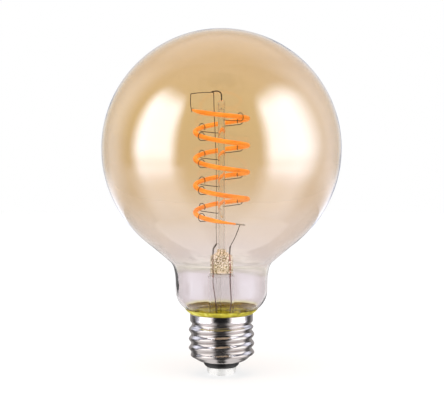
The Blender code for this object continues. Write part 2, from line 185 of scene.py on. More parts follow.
LEFT_LEAD_PATH = [
    (-3.4, 0.0, 39.3), (-3.3, -0.4, 36.0), (-2.2, -2.5, 29.5), (-1.6, -2.5, 20.0),
    (-1.2, -2.2, 11.45),
]
RIGHT_LEAD_PATH = [
    (3.4, 0.0, 39.3), (3.5, 0.0, 36.0), (3.85, 0.0, 28.5), (2.6, -0.5, 20.0), (1.0, -1.4, 11.45),
]
OUTER_LEADS = {
    "left": (LEFT_LEAD_PATH, 0.65 * LEAD_RADIUS),
    "right": (RIGHT_LEAD_PATH, 0.9 * LEAD_RADIUS),
}

# Segments round each turned piece and sides of each wire
GLOBE_SEGMENTS = 160
SHELL_SEGMENTS = 144
SHELL_ROWS = 70
CAP_SEGMENTS = 96
STEM_SEGMENTS = 72
ROD_SEGMENTS = 48
EXHAUST_SEGMENTS = 40
DROP_SEGMENTS = 24
FILAMENT_SIDES = 24
WIRE_SIDES = 14
STRIP_SIDES = 12
HOOK_SIDES = 10
STUDIO_SEGMENTS = 96
SCREEN_SEGMENTS = 32

# Amber coating from the neck up: (share of the height, colour). The stops from 0.105 to 0.132 are
# painted shade and a painted highlight along the shoulder crease: a darker band, then a lighter
# line
COAT_LOW_Z = 0.036
COAT_HEIGHT_SCALE = 10.0
COAT_AND_CREASE_SHADE_STOPS = [
    (0.02, (0.81, 0.76, 0.77)),
    (0.105, (0.82, 0.765, 0.77)),
    (0.120, (0.73, 0.69, 0.63)),
    (0.132, (0.91, 0.87, 0.82)),
    (0.155, (0.84, 0.78, 0.765)),
    (0.22, (0.87, 0.79, 0.74)),
    (0.32, (0.87, 0.785, 0.71)),
    (0.41, (0.845, 0.715, 0.56)),
    (0.55, (0.82, 0.67, 0.455)),
    (0.75, (0.83, 0.68, 0.445)),
    (0.95, (0.845, 0.69, 0.48)),
]

# Driver board parts: (material, dark, light, mottle scale, roughness, metallic)
BOARD_FINISHES = {
    "driver_board": ("board_mask_green", (0.02, 0.12, 0.05), (0.05, 0.25, 0.12), 900.0, 0.4),
    "wireless_board": ("board_mask_blue", (0.02, 0.05, 0.15), (0.05, 0.12, 0.30), 900.0, 0.4),
    "bridge_rectifier": ("package_black", (0.015, 0.015, 0.015), (0.05, 0.05, 0.05), 1500.0, 0.45),
    "bulk_capacitor": ("sleeve_dark", (0.03, 0.035, 0.07), (0.08, 0.09, 0.15), 400.0, 0.3),
    "inductor": ("ferrite_grey", (0.06, 0.055, 0.055), (0.16, 0.15, 0.15), 1200.0, 0.55),
    "fusible_resistor": ("resistor_lacquer", (0.25, 0.34, 0.22), (0.42, 0.52, 0.36), 900.0, 0.45),
    "wireless_shield": ("shield_tin", (0.50, 0.50, 0.50), (0.70, 0.70, 0.70), 700.0, 0.3, 1.0),
    "live_wire": ("insulation_red", (0.40, 0.03, 0.02), (0.62, 0.07, 0.05), 900.0, 0.5),
    "neutral_wire": ("insulation_blue", (0.03, 0.07, 0.34), (0.07, 0.14, 0.52), 900.0, 0.5),
    "shell_weld": ("weld_bead", (0.50, 0.50, 0.50), (0.75, 0.75, 0.76), 1500.0, 0.35, 1.0),
}

# Camera, in metres and degrees
CAMERA_ELEVATION = 6.0
CAMERA_DISTANCE = 1.2
CAMERA_CLIP = (0.05, 20.0)
VIEW_WIDTH = 0.1758
VIEW_CENTRE = (0.0002, 0.0, 0.0698)
SENSOR_WIDTH = 36.0

# Softboxes as the lamp sees them: bearing in degrees, reach left and right of the middle,
# (low, middle, high), and the fully bright share of the reach left, right, low and high
SOFTBOX_DISTANCE = 450.0
SOFTBOX_FALLOFF = 1.6
GLASS_LOOK = (17.0, (0.81, 0.88, 1.0))
OTHER_LOOK = (1.9, (1.0, 0.97, 0.95))
GLASS_SOFTBOXES = {
    "softbox_left_glass": (-66.0, (285, 262), (-190, 320, 760), (0.30, 0.45, 0.40, 0.15)),
    "softbox_right_glass": (70.0, (345, 500), (-200, 320, 800), (0.45, 0.02, 0.40, 0.15)),
}
OTHER_SOFTBOXES = {
    "softbox_left_other": (-66.0, (215, 420), (-170, 250, 620), (0.6, 0.45, 0.9, 0.4)),
    "softbox_right_other": (70.0, (470, 290), (-170, 250, 620), (0.5, 0.6, 0.9, 0.4)),
}
GLASS_PIECES = ("globe_glass", "stem_tube", "stem_exhaust_tube", "glass_rod")

# Rest of the studio
OVERHEAD_SIZE = 1.2
OVERHEAD_POWER = 18.0
OVERHEAD_PLACE = (0.0, -0.3, 1.2)
OVERHEAD_AIM = (0.0, 0.0, 0.07)
CYCLORAMA_SIDES = (0.84, 0.84, 0.85)
REFLECTION_TINT = (0.90, 0.95, 1.12)
FLOOR_RADIUS = 600
FLOOR_Z = -0.2
FLAG_RADIUS = 80
FLAG_LOW_Z = -0.4
FLAG_HIGH_Z = 42
FLAG_START = 100.0
FLAG_SWEEP = 160.0
FLAG_LIGHT = 0.95


class Tree:
    """Short calls for building a node tree."""

    def __init__(self, tree):
        self.tree = tree

    def add(self, kind, inputs=None, **settings):
        node = self.tree.nodes.new(kind)
        for key, value in settings.items():
            setattr(node, key, value)
        for key, value in (inputs or {}).items():
            self.put(node.inputs[key], value)
        return node

    def put(self, socket, value):
        if isinstance(value, bpy.types.NodeSocket):
            self.tree.links.new(value, socket)
        else:
            socket.default_value = value

    def math(self, operation, *values, clamp=False):
        node = self.add("ShaderNodeMath", operation=operation, use_clamp=clamp)
        for socket, value in zip(node.inputs, values):
            self.put(socket, value)
        return node.outputs[0]

    def smooth(self, value, low, high, start=0.0, end=1.0):
        """Eases from start to end while value goes from low to high."""
        node = self.add("ShaderNodeMapRange", interpolation_type="SMOOTHSTEP")
        names = ("Value", "From Min", "From Max", "To Min", "To Max")
        for key, item in zip(names, (value, low, high, start, end)):
            self.put(node.inputs[key], item)
        return node.outputs["Result"]

    def turn(self, angle, low, high, start=0.0, end=1.0):
        """Eases from start to end while an angle goes from low to high, in degrees."""
        return self.smooth(angle, math.radians(low), math.radians(high), start, end)

    def product(self, first, *others):
        for other in others:
            first = self.math("MULTIPLY", first, other)
        return first

    def between(self, share, low, high):
        """Goes from low to high while share goes from 0 to 1."""
        return self.math("MULTIPLY_ADD", share, self.math("SUBTRACT", high, low), low)

    def ramp(self, value, stops):
        node = self.add("ShaderNodeValToRGB")
        elements = node.color_ramp.elements
        while len(elements) < len(stops):
            elements.new(0.5)
        for element, (place, colour) in zip(elements, stops):
            element.position = place
            element.color = (*colour, 1.0)
        self.put(node.inputs["Fac"], value)
        return node.outputs["Color"]

    def mix(self, factor, first, second):
        node = self.add("ShaderNodeMix", data_type="RGBA")
        self.put(node.inputs["Factor"], factor)
        self.put(node.inputs[6], first)
        self.put(node.inputs[7], second)
        return node.outputs[2]

    def tones(self, factor, first, second):
        """Mixes two plain colours."""
        return self.mix(factor, rgba(first), rgba(second))

    def position(self):
        return self.add("ShaderNodeTexCoord").outputs["Object"]

    def axes(self):
        """X, Y and Z in object space, in metres."""
        return self.add("ShaderNodeSeparateXYZ", {"Vector": self.position()}).outputs

    def noise(self, scale, detail=3.0, stretch=(1.0, 1.0, 1.0)):
        """Noise in object space, with scale in cells per metre."""
        mapping = self.add("ShaderNodeMapping", {"Vector": self.position(), "Scale": stretch})
        inputs = {"Vector": mapping.outputs[0], "Scale": scale, "Detail": detail}
        return self.add("ShaderNodeTexNoise", inputs).outputs["Fac"]

    def bump(self, height, distance, strength=1.0):
        inputs = {"Height": height, "Distance": distance, "Strength": strength}
        return self.add("ShaderNodeBump", inputs).outputs["Normal"]


def rgba(colour):
    return (*colour, 1.0)


def principled(name, **settings):
    """A material with one Principled shader. Returns the material, its tree and the shader."""
    material = bpy.data.materials.new(name)
    material.use_nodes = True
    tree = Tree(material.node_tree)
    shader = material.node_tree.nodes["Principled BSDF"]
    for key, value in settings.items():
        tree.put(shader.inputs[key.replace("_", " ")], value)
    return material, tree, shader


def glow(tree, shader, tone, strength):
    """The surface gives off some light of its own colour."""
    tree.put(shader.inputs["Emission Color"], tone)
    tree.put(shader.inputs["Emission Strength"], strength)


# ---------------------------------------------------------------- meshes


def finish_mesh(name, mesh_data, material, smooth=True):
    bmesh.ops.recalc_face_normals(mesh_data, faces=mesh_data.faces)
    bmesh.ops.transform(mesh_data, matrix=Matrix.Scale(MM, 4), verts=mesh_data.verts)
    mesh = bpy.data.meshes.new(name)
    mesh_data.to_mesh(mesh)
    mesh_data.free()
    if smooth:
        mesh.shade_smooth()
    thing = bpy.data.objects.new(name, mesh)
    mesh.materials.append(material)
    bpy.context.scene.collection.objects.link(thing)
    return thing


def bridge(mesh_data, low, high):
    """Faces between two rings of vertices. One of them may be a single vertex."""
    count = max(len(low), len(high))
    if count == 1:
        return
    for i in range(count):
        j = (i + 1) % count
        corners = (low[i % len(low)], low[j % len(low)], high[j % len(high)], high[i % len(high)])
        face = []
        for corner in corners:
            if corner not in face:
                face.append(corner)
        mesh_data.faces.new(face)


def loft(name, sections, material):
    """A closed solid through rings of points."""
    mesh_data = bmesh.new()
    rings = [[mesh_data.verts.new(point) for point in section] for section in sections]
    for low, high in zip(rings, rings[1:]):
        bridge(mesh_data, low, high)
    mesh_data.faces.new(rings[0])
    mesh_data.faces.new(rings[-1])
    return finish_mesh(name, mesh_data, material)


def disc(name, radius, z, material):
    """A flat round card."""
    mesh_data = bmesh.new()
    ring = []
    for i in range(STUDIO_SEGMENTS):
        angle = math.tau * i / STUDIO_SEGMENTS
        ring.append(mesh_data.verts.new((radius * math.cos(angle), radius * math.sin(angle), z)))
    mesh_data.faces.new(ring)
    return finish_mesh(name, mesh_data, material, smooth=False)


def spline(points, steps):
    """A smooth curve through the points (Catmull-Rom), for tuples of any length."""
    points = [Vector(point) for point in points]
    padded = [2 * points[0] - points[1]] + points + [2 * points[-1] - points[-2]]
    curve = []
    for a, b, c, d in zip(padded, padded[1:], padded[2:], padded[3:]):
        for i in range(steps):
            t = i / steps
            square = (2 * a - 5 * b + 4 * c - d) * t * t
            cube = (3 * b - a - 3 * c + d) * t**3
            curve.append(0.5 * (2 * b + (c - a) * t + square + cube))
    curve.append(points[-1])
    return curve


def softened(outline, steps=3, share=0.25):
    """Rounds every inner corner of an open outline."""
    points = [Vector(point) for point in outline]
    soft = [points[0]]
    for before, corner, after in zip(points, points[1:], points[2:]):
        entry = corner.lerp(before, share)
        leave = corner.lerp(after, share)
        for i in range(steps + 1):
            t = i / steps
            soft.append(entry.lerp(corner, t).lerp(corner.lerp(leave, t), t))
    soft.append(points[-1])
    return soft


def lathe(name, outline, segments, material, closed=False, centre=(0.0, 0.0), reach=None):
    """Turns (radius, z) points about a vertical line. reach adds to a radius by angle and z."""
    mesh_data = bmesh.new()
    rings = []
    for radius, z in outline:
        if radius < 1e-6:
            rings.append([mesh_data.verts.new((centre[0], centre[1], z))])
            continue
        ring = []
        for i in range(segments):
            angle = math.tau * i / segments
            size = radius + (reach(angle, z) if reach else 0.0)
            place = (centre[0] + size * math.cos(angle), centre[1] + size * math.sin(angle), z)
            ring.append(mesh_data.verts.new(place))
        rings.append(ring)
    pairs = list(zip(rings, rings[1:]))
    if closed:
        pairs.append((rings[-1], rings[0]))
    for low, high in pairs:
        bridge(mesh_data, low, high)
    return finish_mesh(name, mesh_data, material)


def arc(centre, radius, start, end, steps):
    points = []
    for i in range(steps + 1):
        angle = math.radians(start + (end - start) * i / steps)
        x = centre[0] + radius * math.cos(angle)
        y = centre[1] + radius * math.sin(angle)
        points.append(Vector((x, y)))
    return points


def inset(outline, distance):
    """Moves an outline sideways, to its right when read from start to end."""
    moved = []
    for i, (radius, z) in enumerate(outline):
        before = outline[max(i - 1, 0)]
        after = outline[min(i + 1, len(outline) - 1)]
        run = Vector((after[0] - before[0], after[1] - before[1])).normalized()
        new_radius = 0.0 if radius < 1e-6 else radius + distance * run.y
        moved.append(Vector((new_radius, z - distance * run.x)))
    return moved


def tube(name, points, radius, material, sides=WIRE_SIDES):
    """A wire along a path, with rounded ends. The radius is one number or one per point."""
    points = [Vector(point) for point in points]
    radii = list(radius) if isinstance(radius, (list, tuple)) else [radius] * len(points)
    first = (points[0] - points[1]).normalized()
    last = (points[-1] - points[-2]).normalized()
    steps = [(k, math.sqrt(1 - k * k)) for k in (0.6, 0.92)]
    start = [(points[0] + first * radii[0] * k, radii[0] * size) for k, size in steps[::-1]]
    end = [(points[-1] + last * radii[-1] * k, radii[-1] * size) for k, size in steps]
    points = [p for p, r in start] + points + [p for p, r in end]
    radii = [r for p, r in start] + radii + [r for p, r in end]
    sections = []
    side = None
    for i, (point, size) in enumerate(zip(points, radii)):
        tangent = (points[min(i + 1, len(points) - 1)] - points[max(i - 1, 0)]).normalized()
        side = tangent.orthogonal() if side is None else side
        side = (side - tangent * side.dot(tangent)).normalized()
        up = tangent.cross(side)
        section = []
        for k in range(sides):
            angle = math.tau * k / sides
            section.append(point + side * size * math.cos(angle) + up * size * math.sin(angle))
        sections.append(section)
    return loft(name, sections, material)


def stand_in(piece, slot, *nodes):
    """A finished piece takes the place of its CAD nodes and moves with the lamp."""
    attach(piece, "root")
    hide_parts(*nodes)
    return piece


# ---------------------------------------------------------------- materials


def lamp_glass(name, colour):
    """Glass that bends light for the eye and lets lamp light straight through."""
    material, tree, shader = principled(name, Roughness=0.0, IOR=GLASS_IOR)
    shader.inputs["Transmission Weight"].default_value = 1.0
    tree.put(shader.inputs["Base Color"], colour(tree))
    clear = tree.add("ShaderNodeBsdfTransparent", {"Color": colour(tree)})
    path = tree.add("ShaderNodeLightPath").outputs
    passes = tree.math("MAXIMUM", path["Is Shadow Ray"], path["Is Diffuse Ray"])
    sides = {0: passes, 1: shader.outputs[0], 2: clear.outputs[0]}
    blend = tree.add("ShaderNodeMixShader", sides)
    output = material.node_tree.nodes["Material Output"]
    tree.put(output.inputs["Surface"], blend.outputs[0])
    return material, tree, shader


def amber_colour(tree):
    """The amber coating is deepest from the top down to the middle and fades out above the neck. A
    darker band and a lighter line at the shoulder crease are painted shade and a painted highlight.
    The coating is paler to the right, and the seal shows the cement's olive stain."""
    place = tree.axes()
    drift = tree.math("MULTIPLY_ADD", tree.noise(28.0, 2.0), 0.012, place["Z"])
    height = tree.math("SUBTRACT", drift, COAT_LOW_Z)
    # The ramp also paints shade and a highlight along the shoulder crease
    coat_and_crease_shade = tree.ramp(tree.math("MULTIPLY", height, COAT_HEIGHT_SCALE), COAT_AND_CREASE_SHADE_STOPS)
    # The coating turns paler towards the right
    paler_to_right = tree.smooth(place["X"], 0.008, 0.036, 0.0, 0.34)
    coat_and_crease_shade = tree.mix(paler_to_right, coat_and_crease_shade, rgba((0.86, 0.76, 0.70)))
    stain = tree.smooth(place["Z"], 0.0264, 0.0282, 1.0, 0.0)
    return tree.mix(stain, coat_and_crease_shade, rgba((0.86, 0.82, 0.40)))


def clear_colour(tree):
    return tree.tones(tree.noise(60.0, 2.0), (0.93, 0.93, 0.92), (0.97, 0.97, 0.96))


def make_amber_glass():
    """Coated glass whose neck is more rippled and less glossy than the globe."""
    material, tree, shader = lamp_glass("amber_coated_glass", amber_colour)
    z = tree.axes()["Z"]
    gloss = tree.tones(tree.smooth(z, 0.044, 0.056), (0.45, 0.45, 0.47), (1.0, 1.0, 1.0))
    tree.put(shader.inputs["Specular Tint"], gloss)
    neck = tree.smooth(z, 0.044, 0.060, 1.0, 0.06)
    ripple = tree.math("MULTIPLY", tree.noise(75.0, 1.5), neck)
    tree.put(shader.inputs["Normal"], tree.bump(ripple, 0.0005))
    return material


def make_clear_glass():
    material, tree, shader = lamp_glass("stem_clear_glass", clear_colour)
    streak = tree.noise(260.0, 2.0, (1.0, 1.0, 0.08))
    tree.put(shader.inputs["Normal"], tree.bump(streak, 0.0001, 0.4))
    return material


def make_press_glass():
    """Crumpled glass full of small bubbles: pale grains with painted olive shade between them, and
    two dark stripes where the wires are sealed in. The press also glows a little: painted light."""
    material, tree, shader = principled("pinched_glass", Roughness=0.25)
    cells = tree.add("ShaderNodeTexVoronoi", {"Vector": tree.position(), "Scale": 2100.0})
    grain = cells.outputs["Distance"]
    cloud = tree.noise(1300.0, 2.0)
    # Painted shade: darker olive and near black between the pale grains
    painted_grain_shade = tree.math("MULTIPLY_ADD", cloud, 0.8, tree.math("MULTIPLY", grain, 0.75))
    stops = [
        (0.60, (1.0, 1.0, 0.98)),
        (0.72, (0.95, 0.92, 0.84)),
        (0.84, (0.56, 0.52, 0.28)),
        (0.96, (0.14, 0.11, 0.04)),
    ]
    x = tree.axes()["X"]
    tone = tree.ramp(painted_grain_shade, stops)
    for place, colour in ((LEAD_X, (0.30, 0.07, 0.03)), (-LEAD_X, (0.20, 0.12, 0.06))):
        distance = tree.math("ABSOLUTE", tree.math("SUBTRACT", x, place * MM))
        stripe = tree.smooth(distance, 0.00015, 0.00045, 1.0, 0.0)
        seal = tree.math("MULTIPLY", stripe, tree.smooth(cloud, 0.3, 0.5))
        tone = tree.mix(seal, tone, rgba(colour))
    tree.put(shader.inputs["Base Color"], tone)
    # Painted light: the press glows a little
    glow(tree, shader, tone, 0.35)
    tree.put(shader.inputs["Normal"], tree.bump(grain, 0.0004, 0.8))
    return material


def make_phosphor():
    """Orange silicone over the chips, grainy and faintly streaked."""
    material, tree, shader = principled("filament_orange", Roughness=0.45)
    grain = tree.noise(1500.0, 3.0)
    streak = tree.noise(420.0, 2.0, (0.35, 0.35, 2.4))
    blend = tree.math("MULTIPLY_ADD", streak, 0.6, tree.math("MULTIPLY", grain, 0.4))
    stops = [(0.36, (0.76, 0.24, 0.015)), (0.5, (0.90, 0.33, 0.03)), (0.64, (0.97, 0.44, 0.07))]
    tone = tree.ramp(blend, stops)
    tree.put(shader.inputs["Base Color"], tone)
    glow(tree, shader, tone, 0.55)
    tree.put(shader.inputs["Normal"], tree.bump(grain, 0.00006, 0.5))
    return material


def make_wire(name, dark, light, roughness=0.4, metallic=1.0):
    """Drawn wire: dull along its length, with lighter rubbed patches."""
    material, tree, shader = principled(name, Metallic=metallic)
    patches = tree.noise(700.0, 3.0)
    rough = tree.smooth(patches, 0.3, 0.7, roughness - 0.1, roughness + 0.12)
    tree.put(shader.inputs["Base Color"], tree.tones(patches, dark, light))
    tree.put(shader.inputs["Roughness"], rough)
    return material


def make_nickel():
    """Nickel plate with faint turning lines and small stains."""
    material, tree, shader = principled("nickel_plate", Metallic=1.0)
    stain = tree.noise(160.0, 4.0)
    line = tree.noise(900.0, 2.0, (0.05, 0.05, 1.0))
    tone = tree.tones(stain, (0.50, 0.46, 0.45), (0.66, 0.62, 0.60))
    tree.put(shader.inputs["Base Color"], tone)
    tree.put(shader.inputs["Roughness"], tree.smooth(stain, 0.3, 0.75, 0.15, 0.28))
    tree.put(shader.inputs["Normal"], tree.bump(line, 0.00003, 0.35))
    return material


def make_contact_metal():
    """Tinned contact plate, a little scuffed, with a faint glow that is painted light."""
    material, tree, shader = principled("contact_tin", Metallic=0.25)
    wear = tree.noise(500.0, 4.0)
    tone = tree.tones(wear, (0.80, 0.79, 0.77), (0.93, 0.93, 0.92))
    tree.put(shader.inputs["Base Color"], tone)
    # Painted light: a faint glow keeps the contact pale
    glow(tree, shader, tone, 0.18)
    tree.put(shader.inputs["Roughness"], tree.smooth(wear, 0.3, 0.7, 0.22, 0.42))
    return material


def make_insulator():
    """Black glassy insulator with a cloudy surface."""
    material, tree, shader = principled("black_vitrite", Roughness=0.4)
    cloud = tree.noise(500.0, 3.0)
    tone = tree.tones(cloud, (0.003, 0.003, 0.004), (0.010, 0.009, 0.011))
    tree.put(shader.inputs["Base Color"], tone)
    tree.put(shader.inputs["Normal"], tree.bump(cloud, 0.0001, 0.3))
    return material


def make_cement():
    """Olive-yellow basing cement with darker and lighter crumbs. Its inner face glows with painted
    light that stands in for light through the glass, so it is brighter than the outer one."""
    material, tree, shader = principled("basing_cement_olive", Roughness=0.7)
    crumbs = tree.noise(650.0, 4.0)
    cloud = tree.noise(150.0, 2.0)
    grainy = tree.math("MULTIPLY_ADD", cloud, 0.5, tree.math("MULTIPLY", crumbs, 0.5))
    stops = [(0.38, (0.16, 0.13, 0.008)), (0.5, (0.27, 0.235, 0.015)), (0.62, (0.40, 0.37, 0.09))]
    tone = tree.ramp(grainy, stops)
    normal = tree.add("ShaderNodeNewGeometry").outputs["Normal"]
    sides = {0: tree.position(), 1: normal}
    painted_glow_facing = tree.add("ShaderNodeVectorMath", sides, operation="DOT_PRODUCT")
    tree.put(shader.inputs["Base Color"], tone)
    # Painted light: the inner face glows much more than the outer one
    glow(tree, shader, tone, tree.smooth(painted_glow_facing.outputs["Value"], -0.004, 0.0, 1.3, 0.03))
    tree.put(shader.inputs["Normal"], tree.bump(crumbs, 0.0002, 0.6))
    return material


def make_plain(name, dark, light, scale, roughness, metallic=0.0):
    """A mottled finish for the small parts on the hidden board."""
    material, tree, shader = principled(name, Metallic=metallic)
    cloud = tree.noise(scale, 3.0)
    rough = tree.smooth(cloud, 0.3, 0.7, roughness - 0.08, roughness + 0.08)
    tree.put(shader.inputs["Base Color"], tree.tones(cloud, dark, light))
    tree.put(shader.inputs["Roughness"], rough)
    tree.put(shader.inputs["Normal"], tree.bump(cloud, 0.00005, 0.3))
    return material


# ---------------------------------------------------------------- pieces


def globe_outline():
    sphere = arc((0.0, GLOBE_CENTRE_Z), GLOBE_RADIUS, 90.0, GLOBE_END_ANGLE, 72)
    sphere[0] = Vector((0.0, GLOBE_CENTRE_Z + GLOBE_RADIUS))
    shoulder = spline([sphere[-1]] + SHOULDER + [(NECK_RADIUS, NECK_LOW_Z)], 5)
    centre = (NECK_RADIUS - NECK_ROUND_RADIUS, NECK_LOW_Z)
    rounding = arc(centre, NECK_ROUND_RADIUS, 0.0, NECK_ROUND_END, 14)
    seal = spline([rounding[-1]] + SEAL, 5)
    return sphere[:-1] + shoulder + rounding[1:-1] + seal


def build_envelope(material):
    outside = globe_outline()
    inside = inset(outside, GLASS_WALL)
    piece = lathe("globe_glass", outside + inside[::-1], GLOBE_SEGMENTS, material)
    return stand_in(piece, "amber_glass", "glass_envelope")


def smooth_step(low, high, value):
    t = min(max((value - low) / (high - low), 0.0), 1.0)
    return t * t * (3 - 2 * t)


def thread_height(angle, z):
    """How far the rolled thread stands out of the shell."""
    phase = (z - THREAD_CREST_Z) / THREAD_PITCH - angle / math.tau
    wave = 0.5 + 0.5 * math.cos(math.tau * phase)
    fade = smooth_step(*THREAD_FADE_LOW, z) * (1 - smooth_step(*THREAD_FADE_HIGH, z))
    return THREAD_DEPTH * wave * fade


def build_shell(material):
    radius, low = SHELL_FOOT[-1]
    high = SHELL_HEAD[0][1]
    heights = [low + (high - low) * i / SHELL_ROWS for i in range(1, SHELL_ROWS)]
    middle = [Vector((radius, z)) for z in heights]
    rim = [Vector(point) for point in SHELL_RIM]
    outside = spline(SHELL_FOOT, 5) + middle + spline(SHELL_HEAD, 4) + rim
    outline = outside + inset(outside, -SHELL_WALL)[::-1]
    piece = lathe(
        "screw_cap_shell", outline, SHELL_SEGMENTS, material, closed=True, reach=thread_height
    )
    return stand_in(piece, "nickel_shell", "screw_shell")


def build_cap(insulator, contact, cement):
    outline = softened(INSULATOR_OUTLINE, 3, 0.12)
    piece = lathe("cap_insulator", outline, CAP_SEGMENTS, insulator, closed=True)
    stand_in(piece, "black_insulator", "base_insulator")
    piece = lathe("cap_contact", softened(CONTACT_OUTLINE, 3, 0.2), CAP_SEGMENTS, contact)
    stand_in(piece, "contact_plate", "centre_contact")
    outline = softened(CEMENT_OUTLINE, 2, 0.2)
    piece = lathe("cement_ring", outline, GLOBE_SEGMENTS, cement, closed=True)
    stand_in(piece, "cement", "basing_cement")


def build_stem(clear, pinched):
    outside = spline(STEM_OUTLINE, 6)
    outline = outside + inset(outside, STEM_WALL)[::-1]
    piece = lathe("stem_tube", outline, STEM_SEGMENTS, clear, closed=True)
    stand_in(piece, "stem_glass", "stem_flare")
    outline = softened(EXHAUST_OUTLINE, 3, 0.1)
    centre = (EXHAUST_X, 0.0)
    piece = lathe("stem_exhaust_tube", outline, EXHAUST_SEGMENTS, clear, centre=centre)
    stand_in(piece, "stem_glass", "exhaust_tube")
    build_rod(clear)
    build_press(pinched)


def build_rod(clear):
    """A thin-walled rod with a closed top, and a slanting drop of glass sealed in its bore."""
    bore = ROD_RADIUS - ROD_WALL
    solid_z = ROD_HIGH_Z - ROD_SOLID_TOP
    cap = arc((0.0, ROD_HIGH_Z - ROD_RADIUS), ROD_RADIUS, 0.0, 90.0, 10)
    outside = [Vector((ROD_RADIUS, z)) for z in ROD_RING_Z]
    outside += cap[:-1] + [Vector((0.0, ROD_HIGH_Z))]
    inside = [Vector((0.0, solid_z)), Vector((bore, solid_z - ROD_BORE_TAPER))]
    inside += [Vector((bore, z)) for z in reversed(ROD_RING_Z)]
    piece = lathe("glass_rod", outside + inside, ROD_SEGMENTS, clear, closed=True)
    stand_in(piece, "stem_glass", "support_rod")
    ball = arc((0.0, DROP_Z), bore - DROP_GAP, -90.0, 90.0, 12)
    drop = [Vector((point.x, DROP_Z + (point.y - DROP_Z) * DROP_STRETCH)) for point in ball]
    piece = lathe("rod_drop", drop, DROP_SEGMENTS, clear)
    for vertex in piece.data.vertices:
        vertex.co.z += vertex.co.x * DROP_SLANT
    stand_in(piece, "stem_glass", "support_rod")


def build_press(material):
    """The pinched end of the stem tube: an oval foot, two flat cheeks and a narrow top."""
    sections = []
    for z, half_width, half_depth in spline(PRESS_SECTIONS, 6):
        angles = [math.tau * i / STEM_SEGMENTS for i in range(STEM_SEGMENTS)]
        section = [(half_width * math.cos(a), half_depth * math.sin(a), z) for a in angles]
        sections.append(section)
    return stand_in(loft("pinched_press", sections, material), "press_glass", "stem_press")


def helix_point(degrees):
    """Centre line of the filament. The first half turn is wider and flatter."""
    left = min(max(1.0 - (degrees - FILAMENT_START) / 180.0, 0.0), 1.2)
    reach = FILAMENT_RADIUS + FILAMENT_EXTRA_RADIUS * left * left
    turns = (degrees - FILAMENT_START) / 360.0
    z = FILAMENT_TOP_Z - FILAMENT_PITCH * turns - FILAMENT_FIRST_DROP * left * left
    angle = math.radians(degrees)
    return Vector((reach * math.cos(angle), reach * math.sin(angle), z))


def outward_at(degrees):
    return Vector((math.cos(math.radians(degrees)), math.sin(math.radians(degrees)), 0.0))


def helix_angles(start, end):
    count = max(round((end - start) / FILAMENT_STEP), 2)
    return [start + (end - start) * i / count for i in range(count + 1)]


def build_filament(phosphor, strip, metal):
    path = [helix_point(degrees) for degrees in helix_angles(*FILAMENT_SPAN)]
    radii = []
    for i in range(len(path)):
        radius = FILAMENT_THICK_RADIUS
        for steps, share, far in zip(TAPER_STEPS, TAPER_SHARES, (i, len(path) - 1 - i)):
            radius *= share + (1.0 - share) * smooth_step(0.0, steps, far)
        radii.append(radius)
    piece = tube("filament_coil", path, radii, phosphor, sides=FILAMENT_SIDES)
    stand_in(piece, "phosphor", "filament_phosphor")
    piece = helix_ribbon("filament_carrier", FILAMENT_SPAN, CARRIER_HALF_SIZE, strip)
    stand_in(piece, "carrier_strip", "filament_strip")
    piece = helix_ribbon("filament_end_upper", TERMINAL_UPPER, UPPER_END_HALF_SIZE, metal)
    stand_in(piece, "terminal_metal", "terminal_upper")
    piece = helix_ribbon("filament_end_lower", TERMINAL_LOWER, LOWER_END_HALF_SIZE, metal)
    stand_in(piece, "terminal_metal", "terminal_lower")


def squared(value):
    """A sine or cosine pushed outwards, which turns a circle into a rounded box."""
    return math.copysign(abs(value) ** STRIP_SQUARENESS, value)


def helix_ribbon(name, span, half_size, material):
    """A flat strip along the helix with rounded edges."""
    half_width, half_height = half_size
    sections = []
    for degrees in helix_angles(*span):
        outward = outward_at(degrees)
        ahead = (helix_point(degrees + 0.5) - helix_point(degrees - 0.5)).normalized()
        upward = ahead.cross(outward).normalized()
        section = []
        for k in range(STRIP_SIDES):
            angle = math.tau * k / STRIP_SIDES
            across = squared(math.cos(angle)) * half_width
            along = squared(math.sin(angle)) * half_height
            section.append(helix_point(degrees) + outward * across + upward * along)
        sections.append(section)
    return loft(name, sections, material)


def build_hook(number, degrees, material):
    """A wire sealed in the rod that ends in a ring round the filament."""
    centre = helix_point(degrees)
    outward = outward_at(degrees)
    low = centre - Vector((0.0, 0.0, HOOK_RING_RADIUS))
    start = outward * (ROD_RADIUS - 0.5)
    start.z = low.z - 0.1
    path = [start, start.lerp(low, 0.35) + Vector((0.0, 0.0, -0.08)), start.lerp(low, 0.75)]
    for i in range(HOOK_RING_STEPS + 1):
        angle = math.radians(-90 + HOOK_RING_SWEEP * i / HOOK_RING_STEPS)
        swing = outward * math.cos(angle) + Vector((0.0, 0.0, math.sin(angle)))
        path.append(centre + swing * HOOK_RING_RADIUS)
    name = f"filament_hook_{number:02d}"
    piece = tube(name, path, HOOK_WIRE_RADIUS, material, sides=HOOK_SIDES)
    stand_in(piece, "support_wire", f"support_hook_{number:02d}")


def build_globe_wires(nickel):
    riser = spline(RISER_PATH, 8)
    widening = WIRE_RADIUS - RISER_LOW_RADIUS
    risen = [smooth_step(*RISER_WIDENS, point.z) for point in riser]
    lower_link = [helix_point(LOWER_LINK_ANGLE)] + LOWER_LINK_PATH
    wires = {
        "anchor_wire": (spline(ANCHOR_PATH, 6), ANCHOR_RADIUS),
        "upper_link_wire": (spline(UPPER_LINK_PATH, 6), WIRE_RADIUS),
        "riser_wire": (riser, [RISER_LOW_RADIUS + widening * share for share in risen]),
        "lower_link_wire": (spline(lower_link, 8), WIRE_RADIUS),
        "inner_lead_left": (spline(LEFT_STUB_PATH, 6), STUB_RADIUS),
        "inner_lead_right": (spline(RIGHT_STUB_PATH, 6), STUB_RADIUS),
    }
    for node, (path, radius) in wires.items():
        stand_in(tube("lamp_" + node, path, radius, nickel), "lead_wire", node)


